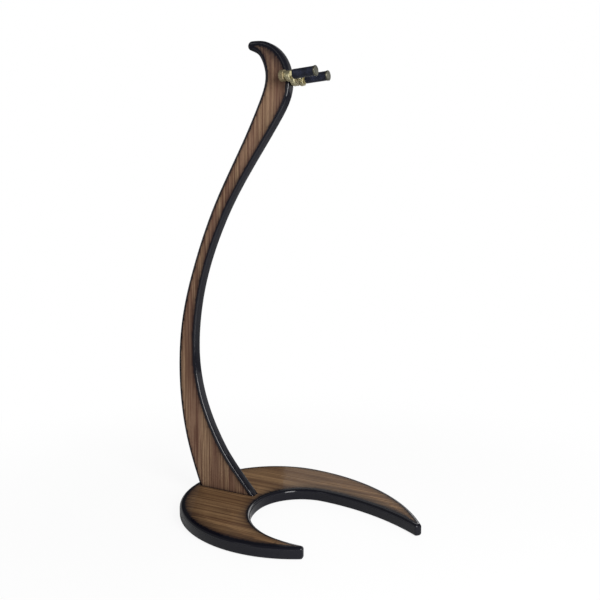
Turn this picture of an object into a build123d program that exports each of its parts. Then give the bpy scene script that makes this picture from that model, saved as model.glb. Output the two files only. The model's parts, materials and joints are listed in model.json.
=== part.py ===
"""Floor-standing guitar hanger: a swan-neck post board on a crescent base board, with a
swivelling brass yoke that holds a guitar by its headstock.

Millimetres, +Z up, -Y towards the guitar, +X to the right of someone who faces the stand from
the guitar's side. The origin is on the floor, in the middle of the stand's footprint.

The boards are drawn from their own datum, on the post's mid-plane above the inner edge of the
base, and everything is moved to the origin together when it is written.
"""

import os
from math import cos, radians, sin

from build123d import *

# ---------------------------------------------------------------- boards
base_thickness = 28.0
post_thickness = 28.0
edge_round = 6.5
foot_standoff = 2.0

# Outer edge of the base: an arc each way from its rearmost point, then one to each arm's end.
outer_apex = (17.0, 112.0)
outer_right_back_radius = 232.0
outer_right_back_sweep = 92.0
outer_left_back_radius = 271.0
outer_left_back_sweep = 58.0

# Inner edge of the base, the same way, from the opening's rearmost point.
inner_apex = (-18.0, -103.0)
inner_right_back_radius = 117.0
inner_right_back_sweep = 91.0
inner_left_back_radius = 181.0
inner_left_back_sweep = 80.0

# Ends of the two arms, before their corners are rounded: how far the inner corner is from the end
# of the inner edge's back arc, and the outer corner from the inner one.
right_tip_reach = (-86.0, -283.5)
right_tip_width = (12.5, -11.0)
left_tip_reach = (-4.3, -71.4)
left_tip_width = (-13.5, -3.0)
tip_corner_radius = 6.0

# Side view of the post: (distance to the rear, height above the base).
heel = (91.5, 0.0)
heel_lean = 21.0
rear_edge_points = [
    (131.5, 117.5),
    (155.0, 320.0),
    (143.5, 444.0),
    (97.0, 604.5),
    (29.5, 758.5),
    (-53.5, 904.0),
    (-101.0, 996.0),
    (-117.0, 1062.0),
    (-103.0, 1099.0),
]
beak_underside = (-76.0, 1117.0)
beak_underside_angle = 24.0
beak_tip_radius = 11.0
head_edge_points = [
    (-118.0, 1133.5),
    (-146.0, 1118.0),
    (-171.0, 1088.0),
]
yoke_seat = (-184.2, 1040.5)
front_edge_points = [
    (-182.0, 1012.0),
    (-150.0, 948.5),
    (-83.5, 855.5),
    (-18.0, 758.5),
    (35.0, 656.5),
    (74.0, 551.5),
    (96.0, 444.0),
    (99.5, 336.0),
    (77.0, 229.0),
    (28.0, 126.5),
]
toe = (-64.0, 0.0)
toe_slope = 51.0

# ---------------------------------------------------------------- post to base joint
bolt_diameter = 8.0
bolt_head_diameter = 13.0
bolt_head_height = 8.0
bolt_chamfer = 0.8
bolt_socket_across_flats = 6.0
bolt_socket_depth = 4.0
bolt_grip_in_post = 30.0
bolt_hole_clearance = 0.5
bolt_end_clearance = 4.0
washer_diameter = 16.0
washer_thickness = 1.6
counterbore_depth = 11.0
counterbore_clearance = 1.0
bolt_setback = 42.0
insert_diameter = 12.0
insert_length = 25.0
dowel_diameter = 10.0
dowel_length = 40.0
dowel_chamfer = 1.0
dowel_spacing = 30.0

# ---------------------------------------------------------------- rubber feet
foot_diameter = 18.0
foot_recess = 1.5
foot_edge_round = 1.0
foot_screw_diameter = 3.5
foot_screw_length = 16.0
foot_screw_head_diameter = 7.0
foot_screw_head_height = 2.2
foot_screw_sink = 1.0
foot_screw_end_clearance = 1.5
foot_screw_hole_clearance = 0.1
foot_screw_slot_width = 1.0
foot_screw_slot_depth = 0.8
foot_back_margin = 26.0
# Shares of each pair of arcs, outer and inner, between which a foot sits midway.
foot_left_tip_shares = (0.78, 0.05)
foot_left_shares = (0.95, 0.42)
foot_right_shares = (0.97, 0.95)
foot_right_tip_shares = (0.80, 0.70)

# ---------------------------------------------------------------- yoke swivel
yoke_tilt = 2.4
shaft_diameter = 10.0
shaft_insert_diameter = 14.0
shaft_insert_length = 28.0
shaft_end_clearance = 4.0
collar_diameter = 14.0
collar_thickness = 1.5
collar_chamfer = 0.5
spotface_depth = 0.4
spotface_clearance = 0.2
thrust_washer_diameter = 20.0
thrust_washer_thickness = 1.0
running_clearance = 0.04
end_play = 0.1
nut_thread_diameter = 8.0
nut_across_flats = 13.0
nut_hex_height = 6.5
nut_dome_height = 4.5
nut_dome_step = 1.0
nut_thread_depth = 8.0

hub_diameter = 31.0
hub_thickness = 12.0
hub_front_round = 4.0
hub_back_round = 1.5
cross_bar_diameter = 11.0
cross_bar_fillet = 1.5
neck_diameter = 19.0
neck_length = 6.0
neck_setback = 1.0
lug_top_diameter = 19.0
lug_bottom_diameter = 23.0
lug_thickness = 10.0
lug_edge_round = 1.5

# ---------------------------------------------------------------- arms
arm_spacing = 65.0
arm_rise = 4.0
rod_diameter = 10.0
rod_thread_in_knob = 9.0
knob_diameter = 27.0
knob_length = 13.0
knob_edge_round = 2.5
knob_front_chamfer = 1.0
knob_flute_count = 20
knob_flute_diameter = 2.4
knob_flute_depth = 0.5
locknut_across_flats = 19.0
locknut_thickness = 6.0
locknut_bevel_slope = 0.6
sleeve_diameter = 22.0
sleeve_length = 55.0
sleeve_edge_round = 0.8
cap_diameter = 24.0
cap_thickness = 4.0
cap_front_round = 1.2
cap_back_round = 0.6
cap_stud_diameter = 6.0
cap_stud_length = 8.0
cap_stud_end_clearance = 1.0

# ---------------------------------------------------------------- worked out from the above
base_top = foot_standoff + base_thickness
foot_height = foot_standoff + foot_recess
washer_seat = foot_standoff + counterbore_depth
counterbore_diameter = washer_diameter + counterbore_clearance
bolt_head_bottom = washer_seat - washer_thickness - bolt_head_height
dowel_bottom = base_top - dowel_length / 2
foot_screw_hole_diameter = foot_screw_diameter + foot_screw_hole_clearance
foot_screw_hole_end = foot_screw_sink + foot_screw_length + foot_screw_end_clearance
bolt_sites = [Vector(0, toe[0] + bolt_setback), Vector(0, heel[0] - bolt_setback)]
dowel_middle = (bolt_sites[0] + bolt_sites[1]) / 2
dowel_sites = [dowel_middle + Vector(0, side * dowel_spacing / 2) for side in (-1, 1)]

# Along the yoke's swivel, from the post's front edge outwards.
collar_top = collar_thickness - spotface_depth
hub_back = collar_top + thrust_washer_thickness + end_play
hub_front = hub_back + hub_thickness
nut_seat = hub_front + end_play + thrust_washer_thickness
bar_axis = hub_back + hub_thickness / 2
neck_back = hub_back - neck_setback
lug_back = neck_back + neck_length
lug_front = lug_back + lug_thickness
sleeve_start = lug_front + locknut_thickness
sleeve_end = sleeve_start + sleeve_length
sides = {"left": -1, "right": 1}
rim_tolerance = 0.01


def heading(angle):
    """Unit direction in a sketch, in degrees from its x axis."""
    return (cos(radians(angle)), sin(radians(angle)))


def rod(diameter, length, start=0.0):
    """Solid cylinder along +Z, its lower end at a given height."""
    align = (Align.CENTER, Align.CENTER, Align.MIN)
    return Pos(0, 0, start) * Cylinder(diameter / 2, length, align=align)


def ring(outer_diameter, inner_diameter, length, start=0.0):
    """Tube along +Z, its lower end at a given height."""
    return rod(outer_diameter, length, start) - rod(inner_diameter, length, start)


def hex_prism(across_flats, length, start=0.0):
    """Hexagonal bar along +Z, a flat towards +X."""
    hexagon = RegularPolygon(across_flats / 2, 6, major_radius=False, rotation=30)
    return Pos(0, 0, start) * extrude(hexagon, length)


def rims(part, height):
    """The round edges of a turned piece that lie at a given height."""
    return part.edges().filter_by(GeomType.CIRCLE).filter_by_position(
        Axis.Z, height - rim_tolerance, height + rim_tolerance
    )


def at_sites(part, sites):
    """Copies of a piece at several places in plan, as one group of separate solids."""
    return Compound(children=[Pos(site.X, site.Y, 0) * part for site in sites])


def midway(outer_arc, inner_arc, shares):
    """Point midway between a point of the outer arc and one of the inner arc."""
    return (outer_arc @ shares[0] + inner_arc @ shares[1]) / 2


# ---------------------------------------------------------------- base
def arm_arc(back, tip):
    """Arc that runs on smoothly from the end of a back arc to a corner of an arm's end."""
    return TangentArc(back @ 1, tip, tangent=back % 1)


outer_right_back = JernArc(outer_apex, (1, 0), outer_right_back_radius, -outer_right_back_sweep)
outer_left_back = JernArc(outer_apex, (-1, 0), outer_left_back_radius, outer_left_back_sweep)
inner_right_back = JernArc(inner_apex, (1, 0), inner_right_back_radius, -inner_right_back_sweep)
inner_left_back = JernArc(inner_apex, (-1, 0), inner_left_back_radius, inner_left_back_sweep)
right_tip_inner = inner_right_back @ 1 + Vector(*right_tip_reach)
right_tip_outer = right_tip_inner + Vector(*right_tip_width)
left_tip_inner = inner_left_back @ 1 + Vector(*left_tip_reach)
left_tip_outer = left_tip_inner + Vector(*left_tip_width)
outer_right_arm = arm_arc(outer_right_back, right_tip_outer)
outer_left_arm = arm_arc(outer_left_back, left_tip_outer)
inner_right_arm = arm_arc(inner_right_back, right_tip_inner)
inner_left_arm = arm_arc(inner_left_back, left_tip_inner)

foot_sites = {
    "foot_left_tip": midway(outer_left_arm, inner_left_arm, foot_left_tip_shares),
    "foot_left": midway(outer_left_back, inner_left_back, foot_left_shares),
    "foot_back": Vector(outer_apex[0], outer_apex[1] - foot_back_margin),
    "foot_right": midway(outer_right_back, inner_right_back, foot_right_shares),
    "foot_right_tip": midway(outer_right_arm, inner_right_arm, foot_right_tip_shares),
}


def base_plan():
    """Crescent between the outer and the inner arcs, with the corners of both ends rounded."""
    crescent = make_face(
        [
            outer_right_back,
            outer_right_arm,
            Line(right_tip_outer, right_tip_inner),
            inner_right_arm,
            inner_right_back,
            inner_left_back,
            inner_left_arm,
            Line(left_tip_inner, left_tip_outer),
            outer_left_arm,
            outer_left_back,
        ]
    )
    corners = [
        crescent.vertices().sort_by_distance(corner)[0]
        for corner in (right_tip_outer, right_tip_inner, left_tip_inner, left_tip_outer)
    ]
    return fillet(corners, tip_corner_radius)


def base_board():
    """The crescent board, bored for the post's bolts and dowels and for the feet."""
    board = extrude(base_plan(), base_thickness)
    broad_edges = board.faces().sort_by(Axis.Z)[0].edges() + board.faces().sort_by(Axis.Z)[-1].edges()
    board = Pos(0, 0, foot_standoff) * fillet(broad_edges, edge_round)
    for site in bolt_sites:
        board -= Pos(site.X, site.Y, 0) * rod(bolt_diameter + bolt_hole_clearance, base_top)
        board -= Pos(site.X, site.Y, 0) * rod(counterbore_diameter, washer_seat)
    for site in dowel_sites:
        board -= Pos(site.X, site.Y, 0) * rod(dowel_diameter, dowel_length, dowel_bottom)
    for site in foot_sites.values():
        board -= Pos(site.X, site.Y, 0) * rod(foot_diameter, foot_height)
        board -= Pos(site.X, site.Y, 0) * rod(foot_screw_hole_diameter, foot_screw_hole_end)
    return board


# ---------------------------------------------------------------- post
rear_edge = Spline(
    heel,
    *rear_edge_points,
    beak_underside,
    tangents=[heading(90.0 - heel_lean), heading(beak_underside_angle)],
)
beak_tip = JernArc(rear_edge @ 1, rear_edge % 1, beak_tip_radius, 180.0 - beak_underside_angle)
front_edge = Spline(
    beak_tip @ 1,
    *head_edge_points,
    yoke_seat,
    *front_edge_points,
    toe,
    tangents=[beak_tip % 1, heading(180.0 + toe_slope)],
    tangent_scalars=[1.0, 1.0],
)

yoke_plane = Plane(
    origin=(0, yoke_seat[0], base_top + yoke_seat[1]),
    x_dir=(1, 0, 0),
    z_dir=(0, -cos(radians(yoke_tilt)), sin(radians(yoke_tilt))),
)
yoke_place = Location(yoke_plane)


def post_board():
    """The swan-neck board, bored in the foot for its fixings and in the front edge for the yoke."""
    side_view = make_face([rear_edge, beak_tip, front_edge, Line(toe, heel)])
    board = extrude(Plane.YZ * side_view, post_thickness / 2, both=True)
    broad_faces = board.faces().filter_by(Axis.X)
    edges = (broad_faces[0].edges() + broad_faces[1].edges()).filter_by(
        lambda edge: edge.bounding_box().max.Z > rim_tolerance
    )
    board = Pos(0, 0, base_top) * fillet(edges, edge_round)
    for site in bolt_sites:
        board -= Pos(site.X, site.Y, 0) * rod(insert_diameter, insert_length, base_top)
        board -= Pos(site.X, site.Y, 0) * rod(
            bolt_diameter + bolt_hole_clearance, bolt_grip_in_post + bolt_end_clearance, base_top
        )
    for site in dowel_sites:
        board -= Pos(site.X, site.Y, 0) * rod(dowel_diameter, dowel_length, dowel_bottom)
    shaft_bore = rod(shaft_insert_diameter, shaft_insert_length, -shaft_insert_length)
    relief = rod(shaft_diameter, shaft_end_clearance, -shaft_insert_length - shaft_end_clearance)
    spotface = rod(collar_diameter + spotface_clearance, edge_round, -spotface_depth)
    return board - yoke_place * (shaft_bore + relief + spotface)


# ---------------------------------------------------------------- post fixings
def post_bolt():
    """Socket-head bolt, head down in the counterbore."""
    head = rod(bolt_head_diameter, bolt_head_height, bolt_head_bottom)
    head = chamfer(rims(head, bolt_head_bottom), bolt_chamfer)
    shank = rod(
        bolt_diameter,
        base_top + bolt_grip_in_post - washer_seat + washer_thickness,
        washer_seat - washer_thickness,
    )
    shank = chamfer(rims(shank, base_top + bolt_grip_in_post), bolt_chamfer)
    socket = hex_prism(
        bolt_socket_across_flats,
        bolt_socket_depth,
        bolt_head_bottom,
    )
    return head + shank - socket


def post_washer():
    return ring(
        washer_diameter, bolt_diameter + bolt_hole_clearance, washer_thickness,
        washer_seat - washer_thickness,
    )


def post_insert():
    return ring(insert_diameter, bolt_diameter, insert_length, base_top)


def post_dowel():
    dowel = rod(dowel_diameter, dowel_length, dowel_bottom)
    return chamfer(rims(dowel, dowel_bottom) + rims(dowel, dowel_bottom + dowel_length), dowel_chamfer)


# ---------------------------------------------------------------- feet
def foot_screw():
    """Countersunk screw with a slot, its head sunk below the face of the foot."""
    head_radius = foot_screw_head_diameter / 2
    shank_radius = foot_screw_diameter / 2
    neck = foot_screw_sink + foot_screw_head_height
    end = foot_screw_sink + foot_screw_length
    profile = Polyline(
        (0, foot_screw_sink),
        (head_radius, foot_screw_sink),
        (shank_radius, neck),
        (shank_radius, end - foot_screw_diameter),
        (0, end),
        close=True,
    )
    screw = revolve(Plane.XZ * make_face(profile), Axis.Z)
    slot = Box(foot_screw_head_diameter, foot_screw_slot_width, 2 * foot_screw_slot_depth)
    return screw - Pos(0, 0, foot_screw_sink) * slot


def rubber_foot():
    """Low round bumper, half let into the board, with the screw's countersink."""
    foot = rod(foot_diameter, foot_height)
    foot = fillet(rims(foot, 0), foot_edge_round)
    well = rod(foot_screw_head_diameter, foot_screw_sink)
    return foot - well - foot_screw()


# ---------------------------------------------------------------- yoke, in its own frame
# +Z runs out along the swivel from the post's front edge, +X to the right, +Y up.
def at_side(side, part):
    """A piece of one arm, moved from the swivel's axis to the arm's."""
    return Pos(side * arm_spacing / 2, arm_rise, 0) * part


def yoke_shaft():
    """Stud with a collar, a plain journal for the hub and a thread for the nut."""
    thread = rod(shaft_diameter, shaft_insert_length - spotface_depth, -shaft_insert_length)
    collar = rod(collar_diameter, collar_thickness, -spotface_depth)
    collar = chamfer(rims(collar, collar_top), collar_chamfer)
    journal = rod(shaft_diameter, nut_seat - collar_top, collar_top)
    nut_thread = rod(nut_thread_diameter, nut_thread_depth, nut_seat)
    return thread + collar + journal + nut_thread


def yoke_nut():
    """Domed nut that keeps the hub on its journal."""
    hexagon = hex_prism(nut_across_flats, nut_hex_height, nut_seat)
    dome_radius = nut_across_flats / 2 - nut_dome_step
    dome = rod(2 * dome_radius, nut_dome_height, nut_seat + nut_hex_height)
    dome = fillet(rims(dome, nut_seat + nut_hex_height + nut_dome_height), nut_dome_height - nut_dome_step)
    return hexagon + dome - rod(nut_thread_diameter, nut_thread_depth, nut_seat)


def yoke_bar():
    """Cast hub, cross bar and two hanging lugs, bored for the shaft and for the arms."""
    hub = rod(hub_diameter, hub_thickness, hub_back)
    hub = fillet(rims(hub, hub_front), hub_front_round)
    hub = fillet(rims(hub, hub_back), hub_back_round)
    bar = Pos(0, arm_rise / 2, bar_axis) * Rot(0, 90, 0) * Cylinder(cross_bar_diameter / 2, arm_spacing)
    body = hub + bar
    body = fillet(body.edges().filter_by(GeomType.BSPLINE), cross_bar_fillet)
    for side in sides.values():
        body += at_side(side, lug() + rod(neck_diameter, neck_length, neck_back))
    body -= rod(shaft_diameter + 2 * running_clearance, hub_thickness, hub_back)
    for side in sides.values():
        body -= at_side(side, rod(rod_diameter, lug_front - neck_back, neck_back))
    return body


def lug():
    """Upright oval around an arm, wider below, where the swivel's height is."""
    outline = make_hull(
        Circle(lug_top_diameter / 2).edges() + (Pos(0, -arm_rise) * Circle(lug_bottom_diameter / 2)).edges()
    )
    solid = extrude(Pos(0, 0, lug_back) * outline, lug_thickness)
    return fillet(rims(solid, lug_back) + rims(solid, lug_front), lug_edge_round)


def arm_knob():
    """Round nut behind a lug's neck, domed, with a fluted rim."""
    knob = rod(knob_diameter, knob_length, neck_back - knob_length)
    knob = fillet(rims(knob, neck_back - knob_length), knob_edge_round)
    knob = chamfer(rims(knob, neck_back), knob_front_chamfer)
    flute = Pos(knob_diameter / 2 + knob_flute_diameter / 2 - knob_flute_depth, 0, 0) * rod(
        knob_flute_diameter, knob_length, neck_back - knob_length
    )
    for turn in range(knob_flute_count):
        knob -= Rot(0, 0, turn * 360.0 / knob_flute_count) * flute
    return knob - rod(rod_diameter, rod_thread_in_knob, neck_back - rod_thread_in_knob)


def arm_locknut():
    """Hexagon nut in front of a lug, its corners turned off at both faces."""
    corner_diameter = locknut_across_flats / cos(radians(30))
    nut = hex_prism(locknut_across_flats, locknut_thickness, lug_front)
    bevel = (corner_diameter - locknut_across_flats) / 2
    turned = rod(corner_diameter, locknut_thickness, lug_front)
    turned = chamfer(rims(turned, lug_front) + rims(turned, sleeve_start), bevel * locknut_bevel_slope, bevel)
    return (nut & turned) - rod(rod_diameter, locknut_thickness, lug_front)


def arm_rod():
    """Threaded rod, tapped in its front end for the cap's stud."""
    start = neck_back - rod_thread_in_knob
    tapping = cap_stud_length + cap_stud_end_clearance
    return rod(rod_diameter, sleeve_end - start, start) - rod(cap_stud_diameter, tapping, sleeve_end - tapping)


def arm_sleeve():
    sleeve = ring(sleeve_diameter, rod_diameter, sleeve_length, sleeve_start)
    outer_rims = (rims(sleeve, sleeve_start) + rims(sleeve, sleeve_end)).filter_by(
        lambda edge: edge.radius > rod_diameter / 2
    )
    return fillet(outer_rims, sleeve_edge_round)


def arm_cap():
    """Turned end cap, larger than the sleeve so that the headstock can't slide off."""
    cap = rod(cap_diameter, cap_thickness, sleeve_end)
    cap = fillet(rims(cap, sleeve_end + cap_thickness), cap_front_round)
    cap = fillet(rims(cap, sleeve_end), cap_back_round)
    return cap + rod(cap_stud_diameter, cap_stud_length, sleeve_end - cap_stud_length)


# ---------------------------------------------------------------- all the nodes
def all_parts():
    parts = {
        "base": base_board(),
        "post": post_board(),
        "post_bolts": at_sites(post_bolt(), bolt_sites),
        "post_washers": at_sites(post_washer(), bolt_sites),
        "post_inserts": at_sites(post_insert(), bolt_sites),
        "post_dowels": at_sites(post_dowel(), dowel_sites),
        "foot_screws": at_sites(foot_screw(), foot_sites.values()),
    }
    for name, site in foot_sites.items():
        parts[name] = Pos(site.X, site.Y, 0) * rubber_foot()
    yoke = {
        "yoke_insert": ring(
            shaft_insert_diameter,
            shaft_diameter,
            shaft_insert_length - spotface_depth,
            -shaft_insert_length,
        ),
        "yoke_shaft": yoke_shaft(),
        "thrust_washer_rear": ring(
            thrust_washer_diameter, shaft_diameter, thrust_washer_thickness, collar_top
        ),
        "thrust_washer_front": ring(
            thrust_washer_diameter, shaft_diameter, thrust_washer_thickness, hub_front + end_play
        ),
        "yoke_nut": yoke_nut(),
        "yoke_bar": yoke_bar(),
    }
    arm = {
        "arm_knob": arm_knob(),
        "arm_locknut": arm_locknut(),
        "arm_rod": arm_rod(),
        "arm_sleeve": arm_sleeve(),
        "arm_cap": arm_cap(),
    }
    for side_name, side in sides.items():
        for name, piece in arm.items():
            yoke[name + "_" + side_name] = at_side(side, piece)
    for name, piece in yoke.items():
        parts[name] = yoke_place * piece
    return parts


def main():
    parts = all_parts()
    footprint = (parts["base"].bounding_box(), parts["post"].bounding_box())
    middle_x = (min(b.min.X for b in footprint) + max(b.max.X for b in footprint)) / 2
    middle_y = (min(b.min.Y for b in footprint) + max(b.max.Y for b in footprint)) / 2
    to_origin = Pos(-middle_x, -middle_y, 0)
    os.makedirs("parts", exist_ok=True)
    for name, part in parts.items():
        moved = to_origin * part
        moved.label = name
        export_step(moved, "parts/" + name + ".step")
    swivel = to_origin * yoke_place
    print("swivel", swivel.position, "along", yoke_plane.z_dir)


main()
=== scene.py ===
"""Floor-standing guitar hanger: lacquered boards, brass yoke and padded arms."""
import bpy
import bmesh
import json
import numpy as np
from math import cos, radians, sin
from mathutils import Matrix, Vector
from mathutils.geometry import delaunay_2d_cdt


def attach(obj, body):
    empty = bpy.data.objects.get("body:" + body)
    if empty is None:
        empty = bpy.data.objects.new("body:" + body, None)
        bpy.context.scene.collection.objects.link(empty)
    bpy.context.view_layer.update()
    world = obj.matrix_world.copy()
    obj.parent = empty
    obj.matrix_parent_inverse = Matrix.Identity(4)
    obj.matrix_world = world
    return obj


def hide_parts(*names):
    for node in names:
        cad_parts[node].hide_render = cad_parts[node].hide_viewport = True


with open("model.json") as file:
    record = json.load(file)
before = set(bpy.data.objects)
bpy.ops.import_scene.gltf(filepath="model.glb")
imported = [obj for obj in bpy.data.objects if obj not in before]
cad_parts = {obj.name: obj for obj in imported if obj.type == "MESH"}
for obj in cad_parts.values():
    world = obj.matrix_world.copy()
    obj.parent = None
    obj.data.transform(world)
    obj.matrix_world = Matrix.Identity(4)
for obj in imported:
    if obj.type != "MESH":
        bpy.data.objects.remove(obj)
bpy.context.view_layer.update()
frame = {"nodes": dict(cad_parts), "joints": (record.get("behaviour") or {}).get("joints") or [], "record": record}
scene = bpy.context.scene
MM = 0.001


# ---------------------------------------------------------------- helpers for node trees
MIX_FIRST, MIX_SECOND, MIXED = 6, 7, 2  # the mix node's sockets for colours, which share names


def linear(red, green, blue):
    """A colour given as it looks on a screen, 0 to 255, as the linear RGBA that shaders take."""
    def decode(value):
        value /= 255.0
        return value / 12.92 if value <= 0.04045 else ((value + 0.055) / 1.055) ** 2.4

    return (decode(red), decode(green), decode(blue), 1.0)


class Tree:
    """Adds nodes to a tree and joins them, so that a recipe reads from top to bottom."""

    def __init__(self, tree):
        self.tree = tree

    def set(self, socket, value):
        if isinstance(value, bpy.types.NodeSocket):
            self.tree.links.new(value, socket)
        else:
            socket.default_value = value

    def fill(self, node, inputs):
        """Sets or joins a node's inputs, which are named or numbered."""
        for socket, value in inputs.items():
            self.set(node.inputs[socket], value)

    def add(self, kind, inputs=None, **settings):
        node = self.tree.nodes.new(kind)
        for name, value in settings.items():
            setattr(node, name, value)
        self.fill(node, inputs or {})
        return node

    def math(self, operation, *values, clamp=False):
        values = dict(enumerate(values))
        return self.add("ShaderNodeMath", values, operation=operation, use_clamp=clamp).outputs[0]

    def sum_of(self, first, second):
        """The sum of two products, each given as its two factors."""
        return self.math("ADD", self.math("MULTIPLY", *first), self.math("MULTIPLY", *second))

    def vector(self, operation, *values, result="Vector"):
        """A vector operation. Lengths and dot products give their result as a Value."""
        node = self.add("ShaderNodeVectorMath", dict(enumerate(values)), operation=operation)
        return node.outputs[result]

    def mix(self, share, first, second):
        colours = {"Factor": share, MIX_FIRST: first, MIX_SECOND: second}
        return self.add("ShaderNodeMix", colours, data_type="RGBA").outputs[MIXED]

    def step(self, value, low, high, out_low=0.0, out_high=1.0):
        """Smooth step of a value between two levels."""
        levels = dict(enumerate((value, low, high, out_low, out_high)))
        return self.add("ShaderNodeMapRange", levels, interpolation_type="SMOOTHSTEP").outputs[0]

    def noise(self, vector, scale, detail=2.0, roughness=0.5):
        shape = {"Vector": vector, "Scale": scale, "Detail": detail, "Roughness": roughness}
        return self.add("ShaderNodeTexNoise", shape).outputs[0]


def add_sockets(tree, direction, sockets):
    """Gives a tree its inputs or outputs: each has a name, a kind and in some cases a value."""
    for name, kind, *value in sockets:
        item = tree.interface.new_socket(name, in_out=direction, socket_type="NodeSocket" + kind)
        if value:
            item.default_value = value[0]


def new_group(name, inputs, outputs):
    """A shader node group. Returns its tree, the sockets it is given and those it fills."""
    group = bpy.data.node_groups.new(name, "ShaderNodeTree")
    add_sockets(group, "INPUT", inputs)
    add_sockets(group, "OUTPUT", outputs)
    entry = group.nodes.new("NodeGroupInput")
    return Tree(group), entry.outputs, group.nodes.new("NodeGroupOutput").inputs


def place_group(tree, group, **values):
    """Places a group in a tree. The spaces in its sockets' names are written as underscores."""
    node = tree.add("ShaderNodeGroup", node_tree=group.tree)
    tree.fill(node, {name.replace("_", " "): value for name, value in values.items()})
    return node.outputs


def new_shape_tree(name, inputs):
    """A geometry tree with named inputs. Returns its tree and the sockets it is given."""
    tree = bpy.data.node_groups.new(name, "GeometryNodeTree")
    add_sockets(tree, "INPUT", inputs)
    add_sockets(tree, "OUTPUT", [("Geometry", "Geometry")])
    nodes = Tree(tree)
    return nodes, nodes.add("NodeGroupInput").outputs


def end_shape_tree(nodes, geometry, finish):
    """Ends a geometry tree: makes its shape real, gives it its finish and puts it out."""
    real = nodes.add("GeometryNodeRealizeInstances", {"Geometry": geometry}).outputs[0]
    finished = nodes.add("GeometryNodeSetMaterial", {"Geometry": real, "Material": finish})
    nodes.set(nodes.add("NodeGroupOutput").inputs[0], finished.outputs[0])
    return nodes.tree


def new_object(name, data):
    """Puts a mesh, a light or a camera into the scene."""
    made = bpy.data.objects.new(name, data)
    scene.collection.objects.link(made)
    return made


# ---------------------------------------------------------------- effects shared by the materials
SWAY_SCALE = (4.0, 4.0, 1.6)  # how fast the grain wanders, across and along it
SWAY_WIDTH = 20.0 * MM  # how far it wanders


def striped_wood():
    """Straight-grained veneer: dark stripes, fine grain lines and short pores, all along Z."""
    group, given, out = new_group(
        "Striped wood",
        [
            ("Vector", "Vector"),
            ("Light Wood", "Color"),
            ("Mid Wood", "Color"),
            ("Dark Stripe", "Color"),
            ("Stripe Share", "Float", 0.45),
        ],
        [("Color", "Color"), ("Height", "Float")],
    )
    sway = group.noise(group.vector("MULTIPLY", given["Vector"], SWAY_SCALE), 1.0, detail=1.0)
    sway = group.math("MULTIPLY", sway, SWAY_WIDTH)
    sway = group.add("ShaderNodeCombineXYZ", {"X": sway, "Y": sway}).outputs[0]
    across = group.vector("ADD", given["Vector"], sway)

    def streaks(scale, stretch, detail, low, high):
        """Noise drawn out along the grain, as a mask of streaks."""
        drawn = group.vector("MULTIPLY", across, (1.0, 1.0, stretch))
        return group.step(group.noise(drawn, scale, detail, roughness=0.55), low, high)

    band = streaks(scale=24.0, stretch=0.05, detail=2.0, low=0.38, high=0.64)
    broad = streaks(scale=110.0, stretch=0.02, detail=1.0, low=0.52, high=0.64)
    line = streaks(scale=330.0, stretch=0.008, detail=1.0, low=0.46, high=0.60)
    hair = streaks(scale=900.0, stretch=0.012, detail=1.0, low=0.48, high=0.66)
    pore = streaks(scale=1700.0, stretch=0.05, detail=0.0, low=0.58, high=0.70)
    wood = group.mix(band, given["Mid Wood"], given["Light Wood"])
    depths = ((broad, given["Stripe Share"]), (line, 0.68), (hair, 0.32), (pore, 0.25))
    for mask, depth in depths:
        wood = group.mix(group.math("MULTIPLY", mask, depth), wood, given["Dark Stripe"])
    group.set(out["Color"], wood)
    open_grain = group.sum_of((line, 0.4), (pore, 0.6))
    group.set(out["Height"], group.math("SUBTRACT", 1.0, open_grain))
    return group


def edge_burst():
    """Dark toner sprayed round a board's edge: thick on the rounded edge, thinning inwards."""
    group, given, out = new_group(
        "Edge burst",
        [
            ("Vector", "Vector"),
            ("Wood", "Color"),
            ("Toner", "Color", linear(13, 13, 21)),
            ("Distance", "Float"),
            ("Rim Depth", "Float"),
            ("Rim Width", "Float"),
            ("Haze Depth", "Float"),
            ("Haze Width", "Float"),
            ("Side", "Float"),
            ("Side Share", "Float"),
        ],
        [("Color", "Color")],
    )
    spray = group.noise(given["Vector"], scale=14.0, detail=1.0)
    spray = group.math("SUBTRACT", spray, 0.5)  # as much below zero as above it
    lean = group.math("MULTIPLY_ADD", given["Side"], given["Side Share"], 1.0)
    inwards = group.math("MULTIPLY", given["Distance"], -1.0)

    def coat(depth, width):
        """Toner left at a distance from the rim, thinning out over a width."""
        fall = group.math("EXPONENT", group.math("DIVIDE", inwards, width))
        return group.math("MULTIPLY", depth, fall)

    rim = coat(given["Rim Depth"], given["Rim Width"])
    haze_width = group.math("MULTIPLY", given["Haze Width"], group.math("ADD", lean, spray))
    haze = coat(group.math("MULTIPLY", given["Haze Depth"], lean), haze_width)
    toner = group.math("ADD", rim, haze)
    bare = group.math("SUBTRACT", 1.0, toner, clamp=True)
    group.set(out["Color"], group.mix(bare, given["Toner"], given["Wood"]))
    return group


def lacquer():
    """Polished lacquer: faint waves under the shine, and a little dust that dulls it."""
    group, given, out = new_group(
        "Lacquer",
        [("Vector", "Vector"), ("Gloss", "Float", 0.16), ("Dust", "Float", 0.10)],
        [("Roughness", "Float"), ("Height", "Float")],
    )
    waves = group.noise(given["Vector"], scale=42.0)
    smudge = group.noise(given["Vector"], scale=9.0, detail=4.0, roughness=0.6)
    specks = group.noise(given["Vector"], scale=900.0, detail=0.0)
    specks = group.step(specks, low=0.70, high=0.80)
    dull = group.sum_of((smudge, given["Dust"]), (specks, given["Dust"]))
    group.set(out["Roughness"], group.math("ADD", given["Gloss"], dull, clamp=True))
    group.set(out["Height"], waves)
    return group


TARNISH_DULLS = 0.22  # what full tarnish adds to the roughness
GRIT_DULLS = 0.10


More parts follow.
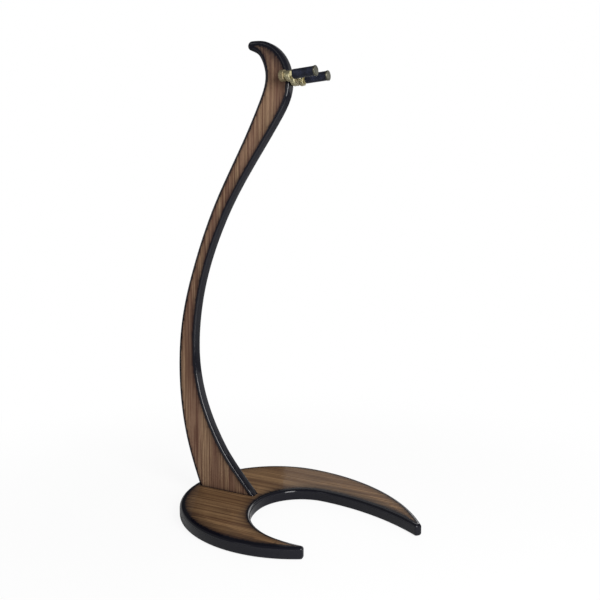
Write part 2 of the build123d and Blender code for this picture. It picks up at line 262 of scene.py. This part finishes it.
def aged_metal():
    """Metal with patches of tarnish, rubbed spots and fine turning or casting texture."""
    group, given, out = new_group(
        "Aged metal",
        [
            ("Vector", "Vector"),
            ("Bright", "Color"),
            ("Tarnish", "Color"),
            ("Tarnish Share", "Float", 0.5),
            ("Polish", "Float", 0.22),
            ("Grit", "Float", 700.0),
        ],
        [("Color", "Color"), ("Roughness", "Float"), ("Height", "Float")],
    )
    patches = group.noise(given["Vector"], scale=120.0, detail=5.0, roughness=0.65)
    grit = group.noise(given["Vector"], given["Grit"], detail=3.0, roughness=0.6)
    dull = group.step(patches, low=0.36, high=0.66)
    dull = group.math("MULTIPLY", dull, given["Tarnish Share"])
    group.set(out["Color"], group.mix(dull, given["Bright"], given["Tarnish"]))
    rough = group.math("ADD", given["Polish"], group.math("MULTIPLY", dull, TARNISH_DULLS))
    rough = group.math("ADD", rough, group.math("MULTIPLY", grit, GRIT_DULLS), clamp=True)
    group.set(out["Roughness"], rough)
    group.set(out["Height"], group.sum_of((grit, 0.5), (patches, 0.5)))
    return group


GRAIN_DULLS = 0.16  # what the mould's texture adds to the roughness
RUB_POLISHES = 0.08  # what rubbing takes from it


def handled_rubber():
    """Smooth rubber or nylon: fine mould texture, with rubbed patches that shine a little more."""
    group, given, out = new_group(
        "Handled rubber",
        [
            ("Vector", "Vector"),
            ("Base", "Color"),
            ("Rubbed", "Color"),
            ("Matt", "Float"),
            ("Grain", "Float", 900.0),
        ],
        [("Color", "Color"), ("Roughness", "Float"), ("Height", "Float")],
    )
    patches = group.noise(given["Vector"], scale=55.0, detail=4.0, roughness=0.6)
    grain = group.noise(given["Vector"], given["Grain"])
    rubbed = group.step(patches, low=0.42, high=0.70)
    group.set(out["Color"], group.mix(rubbed, given["Base"], given["Rubbed"]))
    rough = group.math("ADD", given["Matt"], group.math("MULTIPLY", grain, GRAIN_DULLS))
    rough = group.math("SUBTRACT", rough, group.math("MULTIPLY", rubbed, RUB_POLISHES))
    group.set(out["Roughness"], rough)
    group.set(out["Height"], grain)
    return group


STRIPED_WOOD = striped_wood()
EDGE_BURST = edge_burst()
LACQUER = lacquer()
AGED_METAL = aged_metal()
HANDLED_RUBBER = handled_rubber()


# ---------------------------------------------------------------- materials
RIM_DISTANCE = "edge_distance"  # what the boards' shape tree stores for their finish
TONER_LEAN = "edge_side"
EDGE_COAT = 0.54  # weight of the clear coat on the rounded edge
SATIN_COAT = 0.05  # and on the broad faces
EDGE_BLEND = 3.5 * MM  # how far round the edge the one gives way to the other


def new_material(name):
    """Returns a material, its tree, its shader and where each point lies on its object."""
    material = bpy.data.materials.new(name)
    material.use_nodes = True
    tree = Tree(material.node_tree)
    shader = material.node_tree.nodes["Principled BSDF"]
    place = tree.add("ShaderNodeTexCoord").outputs["Object"]
    return material, tree, shader, place


def bumped(tree, shader, height, strength, depth):
    bump = tree.add("ShaderNodeBump", {"Height": height, "Strength": strength, "Distance": depth})
    tree.set(shader.inputs["Normal"], bump.outputs[0])


def board_lacquer(name, turn, toner, **wood):
    """Satin lacquer over toner and striped veneer, glossier round the edge. The turn lays the
    grain along the board."""
    material, tree, shader, place = new_material(name)
    laid = tree.add("ShaderNodeMapping", {"Vector": place, "Rotation": turn}).outputs[0]
    veneer = place_group(tree, STRIPED_WOOD, Vector=laid, **wood)
    distance, lean = (
        tree.add("ShaderNodeAttribute", attribute_name=stored).outputs["Fac"]
        for stored in (RIM_DISTANCE, TONER_LEAN)
    )
    sprayed = {"Vector": place, "Wood": veneer["Color"], "Distance": distance, "Side": lean}
    burst = place_group(tree, EDGE_BURST, **sprayed, **toner)
    finish = place_group(tree, LACQUER, Vector=place)
    tree.fill(
        shader,
        {
            "Base Color": burst["Color"],
            "Roughness": finish["Roughness"],
            "Coat Weight": tree.step(distance, -EDGE_BLEND, 0.0, EDGE_COAT, SATIN_COAT),
            "Coat Roughness": 0.10,
            "Specular IOR Level": 0.0,
        },
    )
    bumped(tree, shader, finish["Height"], strength=0.12, depth=0.3 * MM)
    return material


def metal(name, bump_depth=0.02 * MM, **values):
    material, tree, shader, place = new_material(name)
    worn = place_group(tree, AGED_METAL, Vector=place, **values)
    tree.fill(
        shader, {"Base Color": worn["Color"], "Roughness": worn["Roughness"], "Metallic": 1.0}
    )
    bumped(tree, shader, worn["Height"], strength=0.35, depth=bump_depth)
    return material


def rubber(name, **values):
    material, tree, shader, place = new_material(name)
    handled = place_group(tree, HANDLED_RUBBER, Vector=place, **values)
    tree.fill(
        shader,
        {
            "Base Color": handled["Color"],
            "Roughness": handled["Roughness"],
            "Specular IOR Level": 0.15,
        },
    )
    bumped(tree, shader, handled["Height"], strength=0.3, depth=0.05 * MM)
    return material


def plain_wood(name, **wood):
    material, tree, shader, place = new_material(name)
    veneer = place_group(tree, STRIPED_WOOD, Vector=place, **wood)
    tree.fill(shader, {"Base Color": veneer["Color"], "Roughness": 0.6})
    bumped(tree, shader, veneer["Height"], strength=0.3, depth=0.1 * MM)
    return material


POST_WOOD = board_lacquer(
    "post_lacquered_veneer",
    turn=(0.0, 0.0, 0.0),
    toner={
        "Rim_Depth": 0.50,
        "Rim_Width": 3.0 * MM,
        "Haze_Depth": 0.26,
        "Haze_Width": 7.5 * MM,
        "Side_Share": 0.60,
    },
    Light_Wood=linear(147, 121, 96),
    Mid_Wood=linear(128, 101, 83),
    Dark_Stripe=linear(76, 48, 40),
)
BASE_WOOD = board_lacquer(
    "base_lacquered_veneer",
    turn=(radians(90.0), 0.0, 0.0),
    toner={
        "Rim_Depth": 0.60,
        "Rim_Width": 6.0 * MM,
        "Haze_Depth": 0.72,
        "Haze_Width": 18.0 * MM,
        "Side_Share": 0.50,
    },
    Light_Wood=linear(142, 112, 80),
    Mid_Wood=linear(122, 94, 66),
    Dark_Stripe=linear(78, 54, 40),
)
NODE_MATERIALS = {
    "dowel_wood": plain_wood(
        "beech",
        Light_Wood=linear(214, 184, 140),
        Mid_Wood=linear(200, 168, 124),
        Dark_Stripe=linear(170, 132, 92),
    ),
    "fixing_steel": metal(
        "zinc_plate", Bright=linear(196, 198, 200), Tarnish=linear(150, 150, 148), Polish=0.24
    ),
    "insert_brass": metal(
        "insert_brass", Bright=linear(206, 180, 112), Tarnish=linear(160, 130, 76)
    ),
    "foot_rubber": rubber(
        "foot_rubber", Base=linear(30, 30, 31), Rubbed=linear(52, 52, 53), Matt=0.6
    ),
    "yoke_brass": metal(
        "yoke_brass",
        bump_depth=0.006 * MM,
        Bright=linear(172, 165, 134),
        Tarnish=linear(130, 124, 101),
        Tarnish_Share=0.4,
        Polish=0.38,
    ),
    "knob_brass": metal(
        "knob_brass",
        Bright=linear(154, 141, 112),
        Tarnish=linear(106, 98, 77),
        Tarnish_Share=0.8,
        Polish=0.34,
    ),
    # Brighter than the yoke's brass: a painted highlight for the shine along the arm's neck, over real tarnish
    # patches.
    "locknut_brass": metal(
        "locknut_brass",
        Bright=linear(190, 180, 140),
        Tarnish=linear(130, 124, 101),
        Tarnish_Share=0.4,
        Polish=0.24,
    ),
    # Much darker than the other brass: painted shade for the dark reflection in the caps' end faces, over real
    # tarnish patches.
    "cap_brass": metal(
        "cap_brass",
        Bright=linear(102, 100, 86),
        Tarnish=linear(64, 63, 53),
        Tarnish_Share=0.7,
        Polish=0.20,
    ),
    "rod_steel": metal("rod_steel", Bright=linear(190, 190, 188), Tarnish=linear(140, 138, 132)),
    "sleeve_rubber": rubber(
        "sleeve_rubber", Base=linear(20, 22, 32), Rubbed=linear(34, 37, 52), Matt=0.42
    ),
    "washer_plastic": rubber(
        "washer_nylon", Base=linear(150, 140, 116), Rubbed=linear(130, 120, 98), Matt=0.5
    ),
}

slot_of = {item["node"]: item["material_slot"] for item in frame["record"]["subparts"]}
for node, node_slot in slot_of.items():
    if node_slot in NODE_MATERIALS:
        materials = frame["nodes"][node].data.materials
        materials.clear()
        materials.append(NODE_MATERIALS[node_slot])


# ---------------------------------------------------------------- boards
GRID = 2.5 * MM  # from point to point in a refilled face
RIM_BAND = 12.0 * MM  # beyond this, only every other point of every other row is kept
RIM_GAP = 0.4 * GRID  # the nearest that a point of the grid comes to the rim
WELD = 0.01 * MM
SAME_POINT = 0.1 * WELD
FLAT = 0.9999  # how squarely a face has to look along the board's axis to be flat
ALL_ROUND = 0.99  # a point is on a flat face when all the faces that meet there are flat
BOARD_CREASE = radians(35.0)


def outline_distance_tree():
    """Stores how far each point lies from the rim of its board's flat faces, below zero on the
    rounded edge, and how much heavier the toner is there: on one side, and towards the crown."""
    nodes, given = new_shape_tree(
        "Distance to the rim",
        [
            ("Geometry", "Geometry"),
            ("Broad Axis", "Vector"),
            ("Heavy Side", "Vector"),
            ("Crown Start", "Float"),
            ("Crown End", "Float"),
            ("Crown Share", "Float"),
            ("Flatness", "Float"),
            ("Finish", "Material"),
        ],
    )
    normal = nodes.add("GeometryNodeInputNormal").outputs[0]
    facing = nodes.vector("DOT_PRODUCT", normal, given["Broad Axis"], result="Value")
    is_flat = nodes.math("GREATER_THAN", nodes.math("ABSOLUTE", facing), given["Flatness"])
    flats = nodes.add(
        "GeometryNodeSeparateGeometry",
        {"Geometry": given["Geometry"], "Selection": is_flat},
        domain="FACE",
    )
    faces_beside = nodes.add("GeometryNodeInputMeshEdgeNeighbors").outputs[0]
    rim = nodes.add(
        "GeometryNodeSeparateGeometry",
        {"Geometry": flats.outputs[0], "Selection": nodes.math("LESS_THAN", faces_beside, 2.0)},
        domain="EDGE",
    )
    nearest = nodes.add("GeometryNodeProximity", {0: rim.outputs[0]}, target_element="EDGES")
    on_flat = nodes.add(
        "GeometryNodeFieldOnDomain", {0: is_flat}, data_type="FLOAT", domain="FACE"
    )
    inside = nodes.math("GREATER_THAN", on_flat.outputs[0], ALL_ROUND)
    sign = nodes.math("MULTIPLY_ADD", inside, 2.0, -1.0)
    distance = nodes.math("MULTIPLY", nearest.outputs["Distance"], sign)
    place = nodes.add("GeometryNodeInputPosition").outputs[0]
    height = nodes.add("ShaderNodeSeparateXYZ", {0: place}).outputs["Z"]
    crown = nodes.step(height, given["Crown Start"], given["Crown End"], 0.0, given["Crown Share"])
    outwards = nodes.vector("SUBTRACT", nearest.outputs["Position"], place)
    outwards = nodes.vector("NORMALIZE", outwards)
    leaning = nodes.vector("DOT_PRODUCT", outwards, given["Heavy Side"], result="Value")
    board = given["Geometry"]
    stores = ((RIM_DISTANCE, distance), (TONER_LEAN, nodes.math("ADD", leaning, crown)))
    for name, value in stores:
        board = nodes.add(
            "GeometryNodeStoreNamedAttribute",
            {"Geometry": board, "Name": name, "Value": value},
            data_type="FLOAT",
            domain="POINT",
        ).outputs[0]
    return end_shape_tree(nodes, board, given["Finish"])


def bake(piece, tree, **values):
    """Runs a geometry tree on a piece and keeps the result as a plain mesh, with no modifier."""
    modifier = piece.modifiers.new("shape", "NODES")
    modifier.node_group = tree
    for item in tree.interface.items_tree:
        name = item.name.replace(" ", "_")
        if item.in_out == "INPUT" and name in values:
            modifier[item.identifier] = values[name]
    piece.update_tag()
    evaluated = piece.evaluated_get(bpy.context.evaluated_depsgraph_get())
    finished = bpy.data.meshes.new_from_object(evaluated)
    piece.modifiers.clear()
    piece.data = finished


def inside_rim(points, rim):
    """Which points lie inside the rim's loops, by how often a level line from each crosses it."""
    crossings = np.zeros(len(points), int)
    for (x0, y0), (x1, y1) in rim:
        spans = (points[:, 1] < y0) != (points[:, 1] < y1)
        if y0 != y1:
            crossing = x0 + (points[:, 1] - y0) * (x1 - x0) / (y1 - y0)
            crossings += spans & (points[:, 0] < crossing)
    return crossings % 2 == 1


def distance_to_rim(points, rim):
    """How far each point lies from the nearest segment of the rim."""
    nearest = np.full(len(points), np.inf)
    for start, end in rim:
        along = end - start
        share = np.clip((points - start) @ along / (along @ along), 0.0, 1.0)
        apart = points - start - share[:, None] * along
        nearest = np.minimum(nearest, np.linalg.norm(apart, axis=1))
    return nearest


def grid_inside(outline, rim):
    """Points of an even grid inside a rim, kept clear of it and sparser in the middle."""
    lows, highs = outline.min(axis=0), outline.max(axis=0)
    columns, rows = (np.arange(low + GRID / 2, high, GRID) for low, high in zip(lows, highs))
    grid = np.array([(x, y) for y in rows for x in columns])
    even_row, even_column = np.arange(len(rows)) % 2 == 0, np.arange(len(columns)) % 2 == 0
    sparse = np.logical_and.outer(even_row, even_column).ravel()
    inside = inside_rim(grid, rim)
    grid, sparse = grid[inside], sparse[inside]
    reach = distance_to_rim(grid, rim)
    return grid[(reach > RIM_GAP) & ((reach < RIM_BAND) | sparse)]


def remesh_flat(board, axis, side):
    """Refills one broad face with even triangles, small ones near its rim to carry the burst."""
    level = max(side * v.co[axis] for v in board.verts)
    flat = [
        f
        for f in board.faces
        if side * f.normal[axis] > FLAT and side * f.verts[0].co[axis] > level - WELD
    ]
    chosen = set(flat)
    around = dict.fromkeys(e for f in flat for e in f.edges)
    rim = [e for e in around if sum(f in chosen for f in e.link_faces) == 1]
    corners = list(dict.fromkeys(v for e in rim for v in e.verts))
    number = {v: i for i, v in enumerate(corners)}
    plane = [i for i in range(3) if i != axis]
    outline = np.array([[v.co[plane[0]], v.co[plane[1]]] for v in corners])
    edges = [(number[e.verts[0]], number[e.verts[1]]) for e in rim]
    segments = outline[np.array(edges)]
    points = [Vector(p) for p in outline] + [Vector(p) for p in grid_inside(outline, segments)]
    _, _, triangles, origins, _, _ = delaunay_2d_cdt(points, edges, [], 0, SAME_POINT)
    bmesh.ops.delete(board, geom=flat, context="FACES")
    made = {}

    def vertex(index):
        if index not in made:
            origin = origins[index][0]
            if origin < len(corners):
                made[index] = corners[origin]
            else:
                place = Vector((0.0, 0.0, 0.0))
                place[axis] = side * level
                place[plane[0]], place[plane[1]] = points[origin]
                made[index] = board.verts.new(place)
        return made[index]

    centres = np.array([np.mean([points[origins[i][0]] for i in t], axis=0) for t in triangles])
    for triangle, inside in zip(triangles, inside_rim(centres, segments)):
        if inside:
            face = board.faces.new([vertex(i) for i in triangle])
            face.normal_update()
            if face.normal[axis] * side < 0:
                face.normal_flip()


TOE_REACH = 13.0 * MM  # how far the flare draws the edge out at the base
TOE_HEIGHT = 105.0 * MM  # how high it starts
TOE_CURVE = 1.3
FRONT_SLOPE = 0.75  # how fast the front edge leans back as it rises
WALL_BAND = 6.0 * MM  # how far behind the front edge a point may lie and still belong to it
ROUND_BAND = 14.0 * MM  # the same beside the middle, where the edge is rounded


def flare_toe(board):
    """Draws the foot of the post's front edge out along the base in a short flare."""
    bottom = min(v.co.z for v in board.verts)
    toe = min(v.co.y for v in board.verts if v.co.z < bottom + WELD)
    sides = [v.co.x for v in board.verts]
    middle, half = (min(sides) + max(sides)) / 2, (max(sides) - min(sides)) / 2
    for vertex in board.verts:
        above = vertex.co.z - bottom
        front = toe + FRONT_SLOPE * above
        band = ROUND_BAND if abs(vertex.co.x - middle) > half / 2 else WALL_BAND
        if above < TOE_HEIGHT and vertex.co.y < front + band:
            vertex.co.y -= TOE_REACH * (1.0 - above / TOE_HEIGHT) ** TOE_CURVE


def lacquered_board(node, axis, finish, **toner):
    """Redraws a board with its broad faces, which look along the axis, refilled for the burst."""
    board = bmesh.new()
    board.from_mesh(frame["nodes"][node].data)
    bmesh.ops.remove_doubles(board, verts=board.verts, dist=WELD)
    if node == "post":
        flare_toe(board)
    for side in (-1, 1):
        remesh_flat(board, axis, side)
    mesh = bpy.data.meshes.new(node + "_lacquered")
    board.to_mesh(mesh)
    board.free()
    mesh.shade_smooth()
    mesh.set_sharp_from_angle(angle=BOARD_CREASE)
    piece = new_object(node + "_lacquered", mesh)
    broad = [0.0, 0.0, 0.0]
    broad[axis] = 1.0
    bake(piece, RIM_TREE, Broad_Axis=broad, Flatness=FLAT, Finish=finish, **toner)
    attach(piece, "stand")
    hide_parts(node)


# ---------------------------------------------------------------- knobs
FLUTE_STEPS = 12  # points round the rim for each flute
LENGTH_STEPS = 40
END_RINGS = 12
GROOVE_CURVE = 0.7  # below 1, a flute is fuller than a plain wave
RIM_START = 0.9  # share of the radius at which the flutes begin
BACK_END = -0.499  # just inside the back end of a blank that is one long about its middle
KNOB_CREASE = radians(40.0)


def fluted_knob_tree():
    """Round nut about the Z axis: rounded and domed at the back, less rounded in front, and
    fluted round its rim."""
    nodes, given = new_shape_tree(
        "Fluted knob",
        [
            ("Radius", "Float"),
            ("Length", "Float"),
            ("Back Round", "Float"),
            ("Front Round", "Float"),
            ("Dome", "Float"),
            ("Flutes", "Int"),
            ("Flute Depth", "Float"),
            ("Finish", "Material"),
        ],
    )
    blank = nodes.add(
        "GeometryNodeMeshCylinder",
        {
            "Vertices": nodes.math("MULTIPLY", given["Flutes"], float(FLUTE_STEPS)),
            "Side Segments": LENGTH_STEPS,
            "Fill Segments": END_RINGS,
            "Radius": 1.0,
            "Depth": 1.0,
        },
        fill_type="TRIANGLE_FAN",
    )
    place = nodes.add("GeometryNodeInputPosition").outputs[0]
    x, y, z = nodes.add("ShaderNodeSeparateXYZ", {0: place}).outputs
    span = nodes.math("SQRT", nodes.sum_of((x, x), (y, y)))
    height = nodes.math("MULTIPLY", nodes.math("ADD", z, 0.5), given["Length"])

    def inset(from_end, size):
        """How far a rounded end draws the rim in, at a distance from that end."""
        left = nodes.math("DIVIDE", nodes.math("SUBTRACT", size, from_end), size)
        left = nodes.math("MAXIMUM", left, 0.0)
        arc = nodes.math("SUBTRACT", 1.0, nodes.math("MULTIPLY", left, left), clamp=True)
        arc = nodes.math("SQRT", arc)
        return nodes.math("MULTIPLY", nodes.math("SUBTRACT", 1.0, arc), size)

    at_back = inset(height, given["Back Round"])
    at_front = inset(nodes.math("SUBTRACT", given["Length"], height), given["Front Round"])
    drawn_in = nodes.math("ADD", at_back, at_front)
    angle = nodes.math("ARCTAN2", y, x)
    wave = nodes.math("COSINE", nodes.math("MULTIPLY", angle, given["Flutes"]))
    groove = nodes.math("POWER", nodes.math("MAXIMUM", wave, 0.0), GROOVE_CURVE)
    groove = nodes.math("MULTIPLY", groove, given["Flute Depth"])
    groove = nodes.math("MULTIPLY", groove, nodes.step(span, RIM_START, 1.0))
    full = nodes.math("SUBTRACT", nodes.math("SUBTRACT", given["Radius"], drawn_in), groove)
    radius = nodes.math("MULTIPLY", span, full)
    dome = nodes.math("MULTIPLY", given["Dome"], nodes.math("MULTIPLY", span, span))
    dome = nodes.math("MULTIPLY", dome, nodes.math("LESS_THAN", z, BACK_END))
    moved = nodes.add(
        "ShaderNodeCombineXYZ",
        {
            "X": nodes.math("MULTIPLY", radius, nodes.math("COSINE", angle)),
            "Y": nodes.math("MULTIPLY", radius, nodes.math("SINE", angle)),
            "Z": nodes.math("ADD", height, dome),
        },
    )
    shaped = nodes.add(
        "GeometryNodeSetPosition",
        {"Geometry": blank.outputs["Mesh"], "Position": moved.outputs[0]},
    )
    return end_shape_tree(nodes, shaped.outputs[0], given["Finish"])


def turned_place(node):
    """Where a turned piece of the yoke stands, with Z along the arm, its length and its radius."""
    along = Vector(frame["joints"][0]["axis"]).normalized()
    side = Vector((1.0, 0.0, 0.0))
    up = along.cross(side)
    axes = (side, up, along)
    points = [vertex.co for vertex in frame["nodes"][node].data.vertices]
    spans = [[point.dot(axis) for point in points] for axis in axes]
    middle = [(min(span) + max(span)) / 2 for span in spans]
    length = max(spans[2]) - min(spans[2])
    radius = (max(spans[0]) - min(spans[0])) / 2
    origin = side * middle[0] + up * middle[1] + along * min(spans[2])
    turn = Matrix(axes).transposed().to_4x4()
    return Matrix.Translation(origin) @ turn, length, radius


def fluted_knob(side):
    """Redraws one of the two round nuts behind the yoke's lugs."""
    node = "arm_knob_" + side
    place, length, radius = turned_place(node)
    name = "fluted_knob_" + side
    piece = new_object(name, bpy.data.meshes.new(name))
    bake(
        piece,
        KNOB_TREE,
        Radius=radius,
        Length=length,
        Back_Round=2.5 * MM,
        Front_Round=1.0 * MM,
        Dome=0.5 * MM,
        Flutes=20,
        Flute_Depth=0.5 * MM,
        Finish=NODE_MATERIALS["knob_brass"],
    )
    piece.data.transform(place)
    piece.data.shade_smooth()
    piece.data.set_sharp_from_angle(angle=KNOB_CREASE)
    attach(piece, "yoke")
    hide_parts(node)


KNOB_TREE = fluted_knob_tree()
for side in ("left", "right"):
    fluted_knob(side)
RIM_TREE = outline_distance_tree()
lacquered_board(
    "post",
    axis=0,
    finish=POST_WOOD,
    Heavy_Side=[0.0, -1.0, 0.0],
    Crown_Start=1.03,
    Crown_End=1.15,
    Crown_Share=4.0,
)
lacquered_board(
    "base",
    axis=2,
    finish=BASE_WOOD,
    Heavy_Side=[-1.0, 0.0, 0.0],
    Crown_Start=1.0,
    Crown_End=2.0,
    Crown_Share=0.0,  # the base has no crown
)


# ---------------------------------------------------------------- studio
WHITE = (1.0, 1.0, 1.0, 1.0)
FLOOR_REACH = 12.0  # metres from the middle to each side
FLOOR_DARKER, FLOOR_PALER = (0.90, 0.90, 0.90, 1.0), (0.92, 0.92, 0.92, 1.0)
SHADOW_NEAR, SHADOW_FAR = 0.3, 1.4  # the shadow is lost between these distances, in metres
NEAR_WHITE = 0.91  # share of plain white next to the stand, where its shadow shows most
CEILING = 0.25  # brightness of the ceiling in reflections, where the walls are 1
WALLS_END, CEILING_START = 0.18, 0.62  # sines of the angles above level
SENSOR_WIDTH = 36.0


def backdrop_material(name):
    """White to the camera, with a little of the true floor left near the stand for its shadow."""
    material, tree, shader, place = new_material(name)
    mottle = tree.step(tree.noise(place, scale=3.0, detail=3.0), low=0.3, high=0.7)
    tree.fill(
        shader,
        {
            "Base Color": tree.mix(mottle, FLOOR_DARKER, FLOOR_PALER),
            "Roughness": 0.9,
            "Specular IOR Level": 0.0,
        },
    )
    white = tree.add("ShaderNodeEmission", {"Color": WHITE, "Strength": 1.0})
    away = tree.vector("LENGTH", place, result="Value")
    seen = tree.add("ShaderNodeLightPath").outputs["Is Camera Ray"]
    share = tree.step(away, SHADOW_NEAR, SHADOW_FAR, NEAR_WHITE, 1.0)
    share = tree.math("MULTIPLY", seen, share)
    mixed = tree.add("ShaderNodeMixShader", {0: share, 1: shader.outputs[0], 2: white.outputs[0]})
    out = material.node_tree.nodes["Material Output"]
    tree.set(out.inputs["Surface"], mixed.outputs[0])
    return material


def floor():
    mesh = bpy.data.meshes.new("floor")
    corners = [(-1, -1), (1, -1), (1, 1), (-1, 1)]
    corners = [(x * FLOOR_REACH, y * FLOOR_REACH, 0) for x, y in corners]
    mesh.from_pydata(corners, [], [(0, 1, 2, 3)])
    piece = new_object("floor", mesh)
    mesh.materials.append(backdrop_material("floor_white"))


def turn_towards(look):
    """The turn that points a light or a camera along a line of sight."""
    return look.to_track_quat("-Z", "Y").to_euler()


def softbox(name, place, aim, width, height, power):
    lamp = bpy.data.lights.new(name, "AREA")
    lamp.shape = "RECTANGLE"
    lamp.size, lamp.size_y = width, height
    lamp.energy = power
    holder = new_object(name, lamp)
    holder.location = place
    holder.rotation_euler = turn_towards(Vector(aim) - Vector(place))


def room_light(level):
    """Even light at a level. The camera sees white; reflections see white walls, dim ceiling."""
    world = bpy.data.worlds.new("studio")
    scene.world = world
    world.use_nodes = True
    tree = Tree(world.node_tree)
    rays = tree.add("ShaderNodeLightPath").outputs
    mirrored = tree.math("ADD", rays["Is Glossy Ray"], rays["Is Transmission Ray"], clamp=True)
    direction = tree.add("ShaderNodeTexCoord").outputs["Generated"]
    rise = tree.add("ShaderNodeSeparateXYZ", {0: direction}).outputs["Z"]
    walls = tree.step(rise, WALLS_END, CEILING_START, 1.0, CEILING)
    strength = tree.math("MULTIPLY_ADD", mirrored, tree.math("SUBTRACT", walls, level), level)
    strength = tree.math("MULTIPLY_ADD", rays["Is Camera Ray"], 1.0 - level, strength)
    tree.fill(world.node_tree.nodes["Background"], {"Color": WHITE, "Strength": strength})


def camera(place, heading, pitch, focal_length):
    """Stands to the left of the stand's front, at a little above half its height."""
    heading, pitch = radians(heading), radians(pitch)
    lens = bpy.data.cameras.new("camera")
    lens.sensor_width = SENSOR_WIDTH
    lens.lens = focal_length
    eye = new_object("camera", lens)
    eye.location = place
    look = Vector((sin(heading) * cos(pitch), cos(heading) * cos(pitch), -sin(pitch)))
    eye.rotation_euler = turn_towards(look)
    scene.camera = eye


floor()
room_light(level=0.30)
softbox(
    "front_softbox",
    place=(-1.05, -1.72, 1.18),
    aim=(0.0, 0.05, 0.70),
    width=0.9,
    height=1.6,
    power=62.0,
)
softbox(
    "left_softbox",
    place=(-1.6, 0.85, 1.75),
    aim=(0.0, 0.0, 1.0),
    width=0.6,
    height=0.6,
    power=1.6,
)
softbox(
    "back_softbox",
    place=(2.4, 0.7, 1.0),
    aim=(0.0, 0.0, 0.3),
    width=1.2,
    height=0.8,
    power=11.0,
)
camera(place=(-1.5346, -0.8451, 0.737), heading=62.0, pitch=6.26, focal_length=43.2)
scene.view_settings.view_transform = "Standard"
